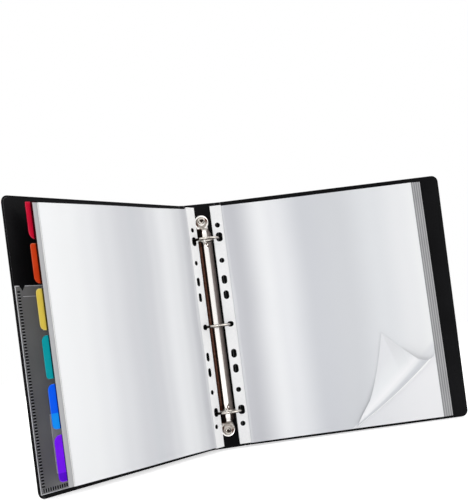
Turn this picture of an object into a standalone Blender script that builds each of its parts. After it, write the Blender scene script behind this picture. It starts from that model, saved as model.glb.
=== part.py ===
# A presentation ring binder standing open on its lower edges.
# Metres, +Z up. The spine's inner face lies in y = 0 and faces -Y.
# Every flap and page is drawn flat: it runs away from the spine along X, with its cover side at +Y,
# and is then turned about its own hinge line.
import bpy
import bmesh
from math import asin, cos, pi, radians, sin, sqrt
from mathutils import Matrix

# Cover: one scored plastic sheet, made as five panels that meet at the score lines
COVER_H = 0.305
COVER_W = 0.276
SPINE_W = 0.038
STRIP_W = 0.007
BOARD_T = 0.0013
CORNER_R = 0.008
GAP = 0.0003
FRONT_FOLD = radians(42.8)
BACK_FOLD = radians(8.6)

# Ring metal
RING_PITCH = 0.108
RING_R = 0.015
WIRE_R = 0.0013
RING_LIFT = 0.019
WIRE_END = 0.0026
RING_PIVOT_X = 0.009
RING_PIVOT_LIFT = 0.0025
HOUSING_HALF_W = 0.010
HOUSING_NECK = 0.007
HOUSING_CROWN = 0.0052
HOUSING_ROUND = 3
PLATE_T = 0.001
RIVET_OVERRUN = 0.023
PAD_R = 0.00875
NECK_L = 0.007
SLOT_NEAR = 0.0011
SLOT_FAR = 0.0088
SLOT_PLAY = 0.00045
BLADE_NEAR = 0.0005
BLADE_FAR = 0.007
BLADE_T = 0.0012
BLADE_OVERRUN = 0.008
RIVET_SHANK_R = 0.0025
RIVET_BORE_R = 0.0015
RIVET_HEAD_R = 0.0042
RIVET_HEAD_T = 0.001

# Pages
PAGE_MARGIN = 0.0060
PAGE_DROP = 0.0008
SHEET_T = 0.0004
BOUND_REACH = 0.0097
HOLE_SHIFT = 0.0016
HOLE_R = 0.0036
SLOT_HOLE_HALF = 0.0055
SMALL_HOLE_R = 0.0028
STRIP_SLOTS = (0.037, 0.0555)
ROUNDS_FROM_RING = (-0.028, 0.016)
STRIP_FILM_W = 0.014
LEFT_REACH = 0.2535
RIGHT_REACH = 0.2640
LEFT_LEAN = radians(1.0)
RIGHT_LEAN = radians(1.5)
FIRST_LAYER = 0.0006
LEFT_LOWER_SLEEVES = 2
RIGHT_LOWER_SLEEVES = 4
LEFT_FAN = 0.0034
RIGHT_FAN = 0.0030
SAG = 0.003
SAG_START = 0.026
SAG_RUN = 0.064
SAG_STEPS = 5
DIVIDERS = 6
DIVIDER_OUT = 0.0060
TAB_OUT = 0.0134
TAB_SPACE = 0.0048
TAB_FOOT = 0.0167
TAB_R = 0.006
CURL_R = 0.0045
CURL_LEG = 0.083
CURL_STEPS = 8

# Film pockets and label
FILM_T = 0.0003
POCKET_INSET = 0.0055
POCKET_DROP = 0.0895
POCKET_NOTCH = 0.0095
NOTCH_HALF = 0.0036
NOTCH_DEPTH = 0.0054
CARD_POCKET_W = 0.095
CARD_POCKET_H = 0.058
CARD_POCKET_INSET = 0.026
CARD_POCKET_Z = 0.026
LABEL_W = 0.101
LABEL_H = 0.060
LABEL_DROP = 0.046
CARD_W = 0.089
CARD_H = 0.051
CARD_T = 0.0004
THUMB_R = 0.011

# How finely round shapes are drawn
ARC_STEPS = 5
HOLE_STEPS = 10
RING_STEPS = 16
RIVET_STEPS = 20
HOUSING_ACROSS = 12
PAD_STEPS = 11
NECK_STEPS = 4

LEFT = -1
RIGHT = 1
MID_Z = COVER_H / 2
RING_ZS = (MID_Z - RING_PITCH, MID_Z, MID_Z + RING_PITCH)
RIVET_REACH = RING_PITCH + RIVET_OVERRUN
RIVET_ZS = (MID_Z - RIVET_REACH, MID_Z + RIVET_REACH)
STRIP_ROUNDS = tuple(RING_PITCH + away for away in ROUNDS_FROM_RING)
RING_AXIS = (0, -RING_LIFT, 0)
CREASE_X = SPINE_W / 2 + GAP / 2
LAYER = SHEET_T + GAP
SLEEVE_Z = PAGE_MARGIN - PAGE_DROP
SLEEVE_TOP = COVER_H - PAGE_MARGIN - PAGE_DROP
FILM_START = BOUND_REACH + STRIP_FILM_W + GAP
TAB_STEP = (SLEEVE_TOP - GAP - SLEEVE_Z - TAB_FOOT + TAB_SPACE) / DIVIDERS
TAB_H = TAB_STEP - TAB_SPACE

BLACK = (0.012, 0.012, 0.013)
STEEL = (0.62, 0.61, 0.59)
WHITE = (0.84, 0.84, 0.85)
PAGE = (0.72, 0.73, 0.75)
GREY = (0.45, 0.45, 0.46)
FILM = (0.10, 0.10, 0.105)
TABS = ((0.55, 0.01, 0.03), (0.62, 0.05, 0.01), (0.66, 0.50, 0.08),
        (0.0, 0.30, 0.32), (0.0, 0.10, 0.90), (0.16, 0.01, 0.75))

for old in list(bpy.data.objects):
    bpy.data.objects.remove(old, do_unlink=True)

parts = bpy.data.collections.new("presentation_ring_binder")
cutters = bpy.data.collections.new("cutters")
bpy.context.scene.collection.children.link(parts)
bpy.context.scene.collection.children.link(cutters)


def finish(obj, colour, rough=0.5, metal=0.0):
    """Give a part its own material and put it with the other parts."""
    mat = bpy.data.materials.new(obj.name)
    mat.use_nodes = True
    shader = mat.node_tree.nodes["Principled BSDF"]
    shader.inputs["Base Color"].default_value = (*colour, 1)
    shader.inputs["Roughness"].default_value = rough
    shader.inputs["Metallic"].default_value = metal
    obj.data.materials.append(mat)
    parts.objects.link(obj)
    return obj


def empty(name, place):
    obj = bpy.data.objects.new(name, None)
    obj.location = place
    parts.objects.link(obj)
    return obj


def hang(obj, pivot):
    """Carry an object that is drawn in place on the empty at its hinge line."""
    obj.parent = pivot
    obj.location = [a - b for a, b in zip(obj.location, pivot.location)]


def plate(outlines, y0, y1):
    """A flat plate from y0 to y1: the first outline of (x, z) points, with the others as holes."""
    curve = bpy.data.curves.new("outline", "CURVE")
    curve.dimensions = "2D"
    curve.fill_mode = "BOTH"
    curve.extrude = (y1 - y0) / 2
    for outline in outlines:
        spline = curve.splines.new("POLY")
        spline.points.add(len(outline) - 1)
        for point, (x, z) in zip(spline.points, outline):
            point.co = (x, z, 0, 1)
        spline.use_cyclic_u = True
    obj = bpy.data.objects.new("outline", curve)
    bpy.context.scene.collection.objects.link(obj)
    graph = bpy.context.evaluated_depsgraph_get()
    mesh = bpy.data.meshes.new_from_object(obj.evaluated_get(graph))
    bm = bmesh.new()
    bm.from_mesh(mesh)
    bmesh.ops.remove_doubles(bm, verts=bm.verts, dist=1e-6)
    upright = Matrix.Translation((0, (y0 + y1) / 2, 0)) @ Matrix.Rotation(pi / 2, 4, "X")
    bmesh.ops.transform(bm, verts=bm.verts, matrix=upright)
    bpy.data.objects.remove(obj, do_unlink=True)
    bpy.data.curves.remove(curve)
    bpy.data.meshes.remove(mesh)
    return bm


def mesh_object(name, bm, pivot=(0, 0, 0), turn=0.0):
    bmesh.ops.recalc_face_normals(bm, faces=bm.faces)
    mesh = bpy.data.meshes.new(name)
    bm.to_mesh(mesh)
    bm.free()
    obj = bpy.data.objects.new(name, mesh)
    obj.location = pivot
    obj.rotation_euler = (0, 0, turn)
    return obj


def rounded(x0, x1, z0, z1, far_r=0.0):
    """Rectangle outline with the corners at the x1 end rounded."""
    points = [(x0, z1), (x0, z0)]
    for z, inward, start in ((z0, far_r, 270), (z1, -far_r, 0)):
        steps = ARC_STEPS if far_r else 0
        for k in range(steps + 1):
            a = radians(start + 90 * k / max(steps, 1))
            points.append((x1 - far_r + far_r * cos(a), z + inward + far_r * sin(a)))
    return points


def oval(x, z, r, half_run=0.0):
    """Outline of a round hole, or of a slot that runs along Z."""
    points = []
    for k in range(HOLE_STEPS):
        a = 2 * pi * (k + 0.5) / HOLE_STEPS
        shift = half_run if sin(a) > 0 else -half_run
        points.append((x + r * cos(a), z + r * sin(a) + shift))
    return points


def sided(outlines, side):
    """The outlines on the given side of the spine."""
    return [[(side * x, z) for x, z in outline] for outline in outlines]


# Cover panels
def creases(side, fold):
    """First crease, second crease, turn of the strip and turn of the cover on one side."""
    half = -side * fold / 2
    first = (side * CREASE_X, 0, 0)
    second = (first[0] + side * STRIP_W * cos(half), side * STRIP_W * sin(half), 0)
    return first, second, half, 2 * half


def panels(side, fold, name):
    first, second, half, full = creases(side, fold)
    strip = rounded(GAP / 2, STRIP_W - GAP / 2, 0, COVER_H)
    finish(mesh_object(name + "_hinge_strip", plate(sided([strip], side), 0, BOARD_T), first, half), BLACK)
    cover = rounded(GAP / 2, COVER_W, 0, COVER_H, CORNER_R)
    finish(mesh_object(name + "_cover", plate(sided([cover], side), 0, BOARD_T), second, full), BLACK)


panels(LEFT, FRONT_FOLD, "front")
panels(RIGHT, BACK_FOLD, "back")
spine = [rounded(-SPINE_W / 2, SPINE_W / 2, 0, COVER_H)]
spine += [oval(0, z, RIVET_SHANK_R + GAP) for z in RIVET_ZS]
finish(mesh_object("spine_panel", plate(spine, 0, BOARD_T)), BLACK)


# Film pockets inside the front cover, label card and its holder outside it
def on_front_cover(name, outline, y0, thick, colour):
    first, second, half, full = creases(LEFT, FRONT_FOLD)
    finish(mesh_object(name, plate(sided([outline], LEFT), y0, y0 + thick), second, full), colour, 0.3)


pocket_far = COVER_W - POCKET_INSET
pocket_top = COVER_H - POCKET_DROP
notch = pocket_far - POCKET_NOTCH
pocket = [(POCKET_INSET, pocket_top), (POCKET_INSET, POCKET_INSET), (pocket_far, POCKET_INSET),
          (pocket_far, pocket_top), (notch + NOTCH_HALF, pocket_top), (notch, pocket_top - NOTCH_DEPTH),
          (notch - NOTCH_HALF, pocket_top)]
pocket_y = -GAP - FILM_T
on_front_cover("inner_pocket", pocket, pocket_y, FILM_T, FILM)

card_far = COVER_W - CARD_POCKET_INSET
card_top = CARD_POCKET_Z + CARD_POCKET_H
card_pocket = rounded(card_far - CARD_POCKET_W, card_far, CARD_POCKET_Z, card_top)
on_front_cover("card_pocket", card_pocket, pocket_y - GAP - FILM_T, FILM_T, FILM)

label_z = COVER_H - LABEL_DROP - LABEL_H / 2
label_mid = COVER_W / 2
label_y = BOARD_T + GAP
card = rounded(label_mid - CARD_W / 2, label_mid + CARD_W / 2, label_z - CARD_H / 2, label_z + CARD_H / 2)
on_front_cover("label_card", card, label_y, CARD_T, WHITE)

holder_far = label_mid + LABEL_W / 2
holder = rounded(label_mid - LABEL_W / 2, holder_far, label_z - LABEL_H / 2, label_z + LABEL_H / 2)
thumb = []
for k in range(2 * ARC_STEPS + 1):
    a = pi * k / (2 * ARC_STEPS)
    thumb.append((holder_far - THUMB_R * sin(a), label_z - THUMB_R * cos(a)))
holder[3:3] = thumb
on_front_cover("label_holder", holder, label_y + CARD_T + GAP, FILM_T, FILM)


# Ring metal
def neck_blend(z):
    """0 on the arch, 1 on the end pads, soft between them."""
    along = abs(z) - (RIVET_REACH - PAD_R - NECK_L)
    blend = min(max(along / NECK_L, 0), 1)
    return blend * blend * (3 - 2 * blend)


def housing_half_width(z):
    pad = sqrt(max(PAD_R ** 2 - (abs(z) - RIVET_REACH) ** 2, 0))
    if abs(z) > RIVET_REACH:
        return pad
    return max(pad, HOUSING_HALF_W + (HOUSING_NECK - HOUSING_HALF_W) * neck_blend(z))


def housing_stations():
    """Heights from the middle where the housing's section is drawn, from pad to pad."""
    pad_start = RIVET_REACH - PAD_R
    half = [pad_start - NECK_L * (1 - k / NECK_STEPS) for k in range(NECK_STEPS)]
    half += [RIVET_REACH - PAD_R * cos(pi * k / (PAD_STEPS + 1)) for k in range(PAD_STEPS + 1)]
    return [-z for z in reversed(half)] + half


stations = housing_stations()
bm = bmesh.new()
bmesh.ops.create_grid(bm, x_segments=HOUSING_ACROSS, y_segments=len(stations) - 1, size=1)
for vert in bm.verts:
    row = round((vert.co.y + 1) / 2 * (len(stations) - 1))
    z = stations[row]
    across = vert.co.x
    rise = HOUSING_CROWN * (1 - neck_blend(z)) * (1 - abs(across) ** HOUSING_ROUND)
    vert.co = (across * housing_half_width(z), -(GAP + PLATE_T + rise), MID_Z + z)
housing = mesh_object("ring_housing", bm)
shell = housing.modifiers.new("shell", "SOLIDIFY")
shell.thickness = PLATE_T
shell.offset = -1

slots = []
slot_half = WIRE_R + SLOT_PLAY
for ring_z in RING_ZS:
    for side in (LEFT, RIGHT):
        slots += sided([rounded(SLOT_NEAR, SLOT_FAR, ring_z - slot_half, ring_z + slot_half)], side)
slots += [oval(0, z, RIVET_SHANK_R + GAP) for z in RIVET_ZS]
cutter = mesh_object("housing_holes", plate(slots, -RING_LIFT, -GAP / 2))
cutter.hide_render = True
cutter.display_type = "WIRE"
cutters.objects.link(cutter)
holes = housing.modifiers.new("holes", "BOOLEAN")
holes.operation = "DIFFERENCE"
holes.solver = "EXACT"
holes.object = cutter
finish(housing, STEEL, 0.25, 1.0)


def half_ring(name, side, z):
    """Round wire from the joint in front down to the blade under the housing."""
    start = asin(GAP / 2 / RING_R)
    end = pi - asin(WIRE_END / RING_R)
    curve = bpy.data.curves.new(name, "CURVE")
    curve.dimensions = "3D"
    curve.bevel_depth = WIRE_R
    curve.bevel_resolution = 3
    curve.use_fill_caps = True
    spline = curve.splines.new("POLY")
    spline.points.add(RING_STEPS)
    for k, point in enumerate(spline.points):
        a = start + (end - start) * k / RING_STEPS
        point.co = (side * RING_R * sin(a), -RING_LIFT - RING_R * cos(a), z, 1)
    return bpy.data.objects.new(name, curve)


blade_lift = RING_LIFT - sqrt(RING_R ** 2 - WIRE_END ** 2) - WIRE_R - GAP
blade_low = RING_ZS[0] - BLADE_OVERRUN
blade_high = RING_ZS[2] + BLADE_OVERRUN
for side, name in ((LEFT, "left"), (RIGHT, "right")):
    pivot = empty(name + "_ring_pivot", (side * RING_PIVOT_X, -RING_PIVOT_LIFT, 0))
    blade = sided([rounded(BLADE_NEAR, BLADE_FAR, blade_low, blade_high)], side)
    bank = [mesh_object(name + "_blade", plate(blade, -blade_lift, BLADE_T - blade_lift))]
    for place, ring_z in zip(("bottom", "middle", "top"), RING_ZS):
        bank.append(half_ring(name + "_ring_" + place, side, ring_z))
    for obj in bank:
        finish(obj, STEEL, 0.2, 1.0)
        hang(obj, pivot)


def rivet(name, z):
    """Tubular rivet: head on the housing pad, shank through the spine, flange outside."""
    head = GAP + PLATE_T + GAP
    tail = BOARD_T + GAP
    chamfer = RIVET_HEAD_T / 2
    profile = [(RIVET_BORE_R, -head - RIVET_HEAD_T), (RIVET_HEAD_R - chamfer, -head - RIVET_HEAD_T),
               (RIVET_HEAD_R, -head - chamfer), (RIVET_HEAD_R, -head), (RIVET_SHANK_R, -head),
               (RIVET_SHANK_R, tail), (RIVET_HEAD_R, tail), (RIVET_HEAD_R, tail + chamfer / 2),
               (RIVET_HEAD_R - chamfer, tail + chamfer), (RIVET_BORE_R, tail + chamfer)]
    bm = bmesh.new()
    verts = [bm.verts.new((r, y, 0)) for r, y in profile]
    for i, vert in enumerate(verts):
        bm.edges.new((verts[i - 1], vert))
    obj = mesh_object(name, bm, (0, 0, z))
    turned = obj.modifiers.new("turned", "SCREW")
    turned.axis = "Y"
    turned.steps = RIVET_STEPS
    turned.render_steps = RIVET_STEPS
    turned.use_merge_vertices = True
    turned.merge_threshold = 0.00001
    turned.use_normal_calculate = True
    finish(obj, STEEL, 0.25, 1.0)


for place, z in zip(("bottom", "top"), RIVET_ZS):
    rivet("rivet_" + place, z)


# Pages
def layer_y(layer):
    """How far a layer lies from the plane through the ring axis, on its cover's side."""
    return FIRST_LAYER + LAYER * layer


def hole_x(side, layer):
    return side * (sqrt(RING_R ** 2 - layer_y(layer) ** 2) + HOLE_SHIFT)


def slice_mesh(bm, place, normal):
    geom = bm.verts[:] + bm.edges[:] + bm.faces[:]
    bmesh.ops.bisect_plane(bm, geom=geom, dist=1e-7, plane_co=place, plane_no=normal)


def sheet(outlines, side, layer):
    """A page with the soft bend that pages take beside the rings."""
    bm = plate(outlines, layer_y(layer), layer_y(layer) + SHEET_T)
    for k in range(SAG_STEPS + 1):
        slice_mesh(bm, (side * (SAG_START + SAG_RUN * k / SAG_STEPS), 0, 0), (1, 0, 0))
    for vert in bm.verts:
        blend = min(max((abs(vert.co.x) - SAG_START) / SAG_RUN, 0), 1)
        vert.co.y += SAG * blend * blend * (3 - 2 * blend)
    return bm


def curl(bm, side, reach):
    """Roll the lower outer corner of a page back over it, towards the viewer."""
    base = layer_y(0) + SAG
    start = (side * (reach - CURL_LEG), 0, SLEEVE_Z)
    away = (side * sqrt(0.5), 0, -sqrt(0.5))
    for k in range(CURL_STEPS + 1):
        step = CURL_R * pi * k / CURL_STEPS
        slice_mesh(bm, [a + b * step for a, b in zip(start, away)], away)
    for vert in bm.verts:
        past = (vert.co.x - start[0]) * away[0] + (vert.co.z - start[2]) * away[2]
        if past <= 1e-6:
            continue
        bend = min(past / CURL_R, pi)
        radius = CURL_R + vert.co.y - base
        run = radius * sin(bend) - (past - bend * CURL_R) - past
        vert.co.x += away[0] * run
        vert.co.z += away[2] * run
        vert.co.y = base - CURL_R + radius * cos(bend)
    bmesh.ops.triangulate(bm, faces=[face for face in bm.faces if len(face.verts) > 4])
    return bm


def page_turn(side):
    return -side * (FRONT_FOLD - LEFT_LEAN if side == LEFT else BACK_FOLD - RIGHT_LEAN)


def page(name, side, bm, colour):
    finish(mesh_object(name, bm, RING_AXIS, page_turn(side)), colour, 0.3)


def punched_strip(name, side):
    """The many-punched strip of a top sleeve; slots and round holes mirrored about its middle."""
    outline = rounded(BOUND_REACH, BOUND_REACH + STRIP_FILM_W, SLEEVE_Z, SLEEVE_TOP)
    x = hole_x(side, 0)
    holes = [oval(x, z, HOLE_R) for z in RING_ZS]
    for way in (-1, 1):
        for away in STRIP_SLOTS:
            holes.append(oval(x, MID_Z + way * away, SMALL_HOLE_R, SLOT_HOLE_HALF - SMALL_HOLE_R))
        for away in STRIP_ROUNDS:
            holes.append(oval(x, MID_Z + way * away, SMALL_HOLE_R))
    page(name, side, sheet(sided([outline], side) + holes, side, 0), WHITE)


def lower_page(name, side, layer, outline, colour):
    holes = [oval(hole_x(side, layer), z, HOLE_R) for z in RING_ZS]
    page(name, side, sheet(sided([outline], side) + holes, side, layer), colour)


punched_strip("left_sleeve_strip", LEFT)
left_film = rounded(FILM_START, LEFT_REACH, SLEEVE_Z, SLEEVE_TOP)
page("left_top_sleeve", LEFT, sheet(sided([left_film], LEFT), LEFT, 0), PAGE)
for layer in range(1, LEFT_LOWER_SLEEVES + 1):
    outline = rounded(BOUND_REACH, LEFT_REACH + LEFT_FAN * layer, SLEEVE_Z, SLEEVE_TOP)
    lower_page("left_sleeve_%d" % layer, LEFT, layer, outline, GREY)

punched_strip("right_sleeve_strip", RIGHT)
right_film = rounded(FILM_START, RIGHT_REACH, SLEEVE_Z, SLEEVE_TOP)
page("right_top_sleeve", RIGHT, curl(sheet([right_film], RIGHT, 0), RIGHT, RIGHT_REACH), PAGE)
for layer in range(1, RIGHT_LOWER_SLEEVES + 1):
    outline = rounded(BOUND_REACH, RIGHT_REACH + RIGHT_FAN * layer, SLEEVE_Z, SLEEVE_TOP)
    lower_page("right_sleeve_%d" % layer, RIGHT, layer, outline, GREY)

# Dividers: the first has the top tab and lies nearest the front cover
divider_edge = LEFT_REACH + DIVIDER_OUT
for index in range(DIVIDERS):
    top = SLEEVE_TOP - GAP - TAB_STEP * index
    tab = rounded(divider_edge, LEFT_REACH + TAB_OUT, top - TAB_H, top, TAB_R)
    outline = [(BOUND_REACH, SLEEVE_TOP), (BOUND_REACH, SLEEVE_Z), (divider_edge, SLEEVE_Z)]
    outline += tab[1:] + tab[:1] + [(divider_edge, SLEEVE_TOP)]
    lower_page("divider_%d" % (index + 1), LEFT, LEFT_LOWER_SLEEVES + DIVIDERS - index, outline, TABS[index])
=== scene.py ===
from math import asin, atan2, copysign, cos, pi, radians, sin, sqrt

import bmesh
import bpy
from mathutils import Matrix, Vector


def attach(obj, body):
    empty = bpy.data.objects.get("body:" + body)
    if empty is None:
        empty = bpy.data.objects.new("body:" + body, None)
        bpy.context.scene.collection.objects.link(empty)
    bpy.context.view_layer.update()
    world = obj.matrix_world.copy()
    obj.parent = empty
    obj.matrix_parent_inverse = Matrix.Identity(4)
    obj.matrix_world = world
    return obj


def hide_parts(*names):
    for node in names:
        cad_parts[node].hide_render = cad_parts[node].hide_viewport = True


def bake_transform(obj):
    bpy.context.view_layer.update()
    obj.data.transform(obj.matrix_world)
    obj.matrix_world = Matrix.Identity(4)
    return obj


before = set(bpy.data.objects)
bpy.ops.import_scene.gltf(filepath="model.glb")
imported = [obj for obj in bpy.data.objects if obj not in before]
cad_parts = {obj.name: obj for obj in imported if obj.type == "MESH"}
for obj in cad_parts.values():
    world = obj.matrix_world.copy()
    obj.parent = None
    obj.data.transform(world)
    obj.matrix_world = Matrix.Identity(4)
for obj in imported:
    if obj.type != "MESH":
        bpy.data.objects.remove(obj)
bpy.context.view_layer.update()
scene = bpy.context.scene

# Sizes in metres. The spine's inner face lies in y = 0 and faces -Y.
# Cover, with the pressed border line of its boards and the webs of its score lines
COVER_H = 0.305
COVER_W = 0.276
SPINE_W = 0.038
STRIP_W = 0.007
BOARD_T = 0.0013
CORNER_R = 0.008
EDGE_SOFT = 0.0003
BORDER_IN = 0.0014
BORDER_W = 0.00035
BORDER_DEPTH = 0.00012
BORDER_SLOPE = 0.0003
GAP = 0.0003
WEB = 0.0006
WEB_Y = 0.00005
FRONT_FOLD = radians(42.8)
BACK_FOLD = radians(8.6)
CREASE_X = SPINE_W / 2 + GAP / 2
MID_Z = COVER_H / 2

# Rings, housing and rivets. Places along the spine are measured from its middle.
RING_AWAY = (-0.1063, -0.0007, 0.1058)
RING_NAMES = ("bottom", "middle", "top")
RING_R = 0.015
WIRE_R = 0.0016
RING_LIFT = 0.019
WIRE_END = 0.0026
# The wires are painted dark left of this as painted shade, and darker beyond these shares of their radius,
# below and above, as painted shade and painted reflection
WIRE_SHADE_X = -0.0104
WIRE_SHADE_SHARES = (0.35, 0.8)
# Two half rings overlap by LAP, an angle, on each side of their joint, each with half its wire. A half stops
# short of the other's full wire, goes on past the start of its own, and keeps a gap from the wire's middle.
LAP = 0.0017 / RING_R
LAP_SHORT = 0.03
LAP_PAST = 0.02
LAP_GAP = 0.0002
PAD_REACH = 0.1292
PAD_R = 0.00875
PAD_LIP = 0.0009
# The pad's flat dish and the rise to its lip, in pad radii
PAD_DISH = 0.66
PAD_LIP_RUN = 0.24
RIVET_REACH = 0.1312
RIVET_SEAT = 0.0002
RIVET_BORE = 0.00195
# A rivet's outline as radius and height: the rolled head above the pad, and the flared end beyond the spine
RIVET_HEAD = ((0, 0.0001), (0.0018, 0.0001), (0.0019, 0.0006), (0.0021, 0.0010), (0.0026, 0.0013),
              (0.0034, 0.0011), (0.0041, 0.0006), (0.0042, 0), (0.0025, 0))
RIVET_TAIL = ((0.0025, 0), (0.0042, 0), (0.0040, 0.0004), (0.0034, 0.0008), (0.0027, 0.0009),
              (0.0021, 0.0006), (0.0018, -0.0001), (0.0017, -0.0008), (0, -0.0008))
NECK_L = 0.007
HOUSING_HALF_W = 0.010
HOUSING_NECK = 0.007
HOUSING_CROWN = 0.0052
PLATE_T = 0.001
PLATE_SOFT = 0.0002
CRIMP_XS = (-0.0036, 0.0034)
CRIMP_AWAY = 0.0050
CRIMP_W = 0.0016
CRIMP_H = 0.0022
CRIMP_SPREAD = 2.2
CRIMP_LIFT = 0.0009
# Where the plate's left and right flanks begin, and how wide the dark part of the left one is: painted
# reflection
FLANK = -0.0014
RIGHT_FLANK = 0.0044
FLANK_DARK_W = 0.0028
# How far the right flank's painted reflection goes on into the pads, and how far below the lower ring it is
# painted as lying in shade
RIGHT_FLANK_PAST = 0.0008
RIGHT_SHADE_BELOW = 0.002
SLOT_NEAR = 0.0011
SLOT_FAR = 0.0088
SLOT_HALF = 0.00175
SLOT_ROUND = 0.0080
SLOT_STEP = 0.0009
STATIONS_END = 0.115
NECK_ROWS = 8
PAD_ROWS = 24
CROWN_FALL = 0.005

# Pages: sheets in layers on the rings, each with a punched strip. Reaches are measured from the ring axis.
SLEEVE_Z = 0.0052
SLEEVE_TOP = 0.2982
SHEET_T = 0.0004
HOLE_SHIFT = 0.0011
STRIP_IN = 0.0064
STRIP_OUT = 0.0072
LEFT_STRIP_OUT = 0.0084
FIRST_LAYER = 0.0006
LAYER = 0.0007
LOWER_LAYER = 0.0006
RING_HOLE_ROOM = 0.0010
LEFT_HOLE_ROOM = 0.0011
# How much wider the holes are in the sheets below the top one
LOWER_HOLES = (0, 0.0012, 0.0012, 0.0022)
LEFT_REACH = 0.2547
RIGHT_REACH = 0.2639
# How far the left pages hang behind the right ones at the rings, and over what width they come up again
LEFT_HANG = 0.0055
HANG_RUN = 0.150
# How far a page's outer edge leans out at its top, and in at its foot
LEFT_SKEW = 0.0008
RIGHT_SKEW = -0.0019
# How far a page's film stops short of the sleeve's height: at its top beside the strip and at its outer edge,
# then at its foot beside the strip and at its outer edge
LEFT_TRIM = (0.0022, 0.0036, 0.0010, 0.0026)
RIGHT_TRIM = (0.0011, 0.0, -0.0004, -0.0010)
# How far the lower sleeves reach beyond the top one
LEFT_FANS = (0.0012, 0.0068)
RIGHT_FAN = 0.0030
SEALED_EDGE = 0.0010
LEFT_TURN = radians(41.8)
RIGHT_TURN = radians(-7.1)
SAG = 0.003
SAG_START = 0.026
SAG_RUN = 0.064
DIVIDER_OUT = 0.0010
TAB_OUT = 0.0158
TAB_STEP = 0.0008
TAB_ROOT = 0.0005
TAB_LAP = 0.0012
TAB_RIM = 0.0006
# The curled corner: its radius at the foot and up the side, where its fold meets both edges, how far the fold
# bows, how the tip is drawn out, how its edge sways and how its tip droops
CURL_TIGHT = 0.0020
CURL_LOOSE = 0.0145
CURL_ALONG = 0.115
CURL_UP = 0.098
CURL_BOW = 0.0040
CURL_STRETCH = (0.0116, 0, 0.0312)
CURL_SWAY = 0.0060
CURL_SWAY_BIAS = 0.75
CURL_SWAY_RUN = 0.010
CURL_FLAT = 0.36
CURL_TIP = 0.0004
CURL_FALL = 1.2
CURL_FALL_RUN = 0.020
CURL_STEP = 0.0013
FILM_STEP = 0.0040

# Film pocket and card pocket inside the front cover, and the label holder outside it
FILM_T = 0.0003
POCKET_NEAR = 0.0055
POCKET_FOOT = 0.0045
POCKET_TOP = 0.2137
POCKET_FAR = COVER_W - 0.0024
# Where the pocket's grey begins and ends to turn paler, inwards from its outer edge: painted light against
# the shade that the pages cast near the binding
POCKET_SHADE = (0.006, 0.031)
NOTCH = 0.0095
NOTCH_HALF = 0.0036
NOTCH_DEPTH = 0.0054
SEAM_PITCH = 0.0031
SEAM_IN = 0.0042
SEAM_UP = 0.0046
SEAM_STOP = 0.004
FOOT_SEAM_DROP = 0.001
FOOT_SEAM_STOP = 0.006
DASH_L = 0.0037
DASH_W = 0.0018
DASH_SOFT = 0.00015
PRESSED_STOP = 0.004
CUT_EDGE_W = 0.0007
TOP_EDGE_W = 0.0006
CUT_EDGE_PROUD = 0.0001
CUT_EDGE_SOFT = 0.00012
FOLD_DROP = 0.0112
FOLD_W = 0.0005
FOLD_STOP = 0.0090
CARD_POCKET = (0.155, 0.0217, 0.250, 0.0819)
CARD_EDGE_W = 0.0005
CARD_EDGE_SOFT = 0.0001
LABEL = (0.0875, 0.199, 0.1885, 0.259)
LABEL_PITCH = 0.0016
LABEL_SEAM = 0.0020
LABEL_DASH_L = 0.0017
LABEL_DASH_W = 0.0010
LABEL_DASH_SOFT = 0.00018
LABEL_EDGE_W = 0.0006
# Front and back of what lies inside the front cover, from its inner face
DASH_Y = (-0.00085, -0.0001)
PRESSED_Y = (-0.00066, -0.0005)
CUT_EDGE_Y = (-0.00088, -0.00035)
FOLD_Y = (-0.00088, -0.0005)
CARD_Y = (-0.0012, -0.0009)
CARD_EDGE_Y = (-0.00135, -0.00085)
# Back and front of what lies outside it, from its inner face
LABEL_DASH_Y = (BOARD_T - 0.0001, BOARD_T + 0.0014)
LABEL_EDGE_Y = (BOARD_T + 0.0009, BOARD_T + 0.0014)


# Places: each flap is drawn flat, running away from the spine along +X, and then turned
def turned(x, y, angle, side):
    """A turn about an upright line, mirrored for the left side."""
    flip = Matrix.Diagonal((side, 1, 1, 1))
    return Matrix.Translation((x, y, 0)) @ Matrix.Rotation(angle, 4, "Z") @ flip


def side_places(side, fold):
    """Where the hinge strip and the cover of one side are drawn."""
    half = -side * fold / 2
    first = side * CREASE_X
    strip = turned(first, 0, half, side)
    cover = turned(first + side * STRIP_W * cos(half), side * STRIP_W * sin(half), 2 * half, side)
    return strip, cover


HERE = Matrix.Identity(4)
front_strip_place, front_place = side_places(-1, FRONT_FOLD)
back_strip_place, back_place = side_places(1, BACK_FOLD)
left_page_place = turned(0, -RING_LIFT, LEFT_TURN, -1)
right_page_place = turned(0, -RING_LIFT, RIGHT_TURN, 1)


# Materials
def linear(code):
    """An sRGB hex code as a linear colour with alpha."""
    parts = [int(code[k:k + 2], 16) / 255 for k in (1, 3, 5)]
    return [c / 12.92 if c <= 0.04045 else ((c + 0.055) / 1.055) ** 2.4 for c in parts] + [1]


def add(tree, kind, settings, links):
    """Add a node to a tree with its settings, and link the sockets named to other nodes' outputs."""
    node = tree.nodes.new(kind)
    for key, value in settings.items():
        if isinstance(key, str) and hasattr(node, key):
            setattr(node, key, value)
        else:
            node.inputs[key].default_value = value
    for key, output in links.items():
        tree.links.new(output, node.inputs[key])
    return node


def new_material(name, code, settings):
    """A material with its base colour and shader settings, its tree and its shader."""
    material = bpy.data.materials.new(name)
    material.use_nodes = True
    shader = material.node_tree.nodes["Principled BSDF"]
    shader.inputs["Base Color"].default_value = linear(code)
    for key, value in settings.items():
        shader.inputs[key].default_value = value
    return material, material.node_tree, shader


def speckle(tree, size, detail, roughness=0.5):
    """A noise over the Object coordinates, with spots of a size in metres."""
    coords = add(tree, "ShaderNodeTexCoord", {}, {})
    return add(tree, "ShaderNodeTexNoise", {"Scale": 1 / size, "Detail": detail, "Roughness": roughness},
               {"Vector": coords.outputs["Object"]})


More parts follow.
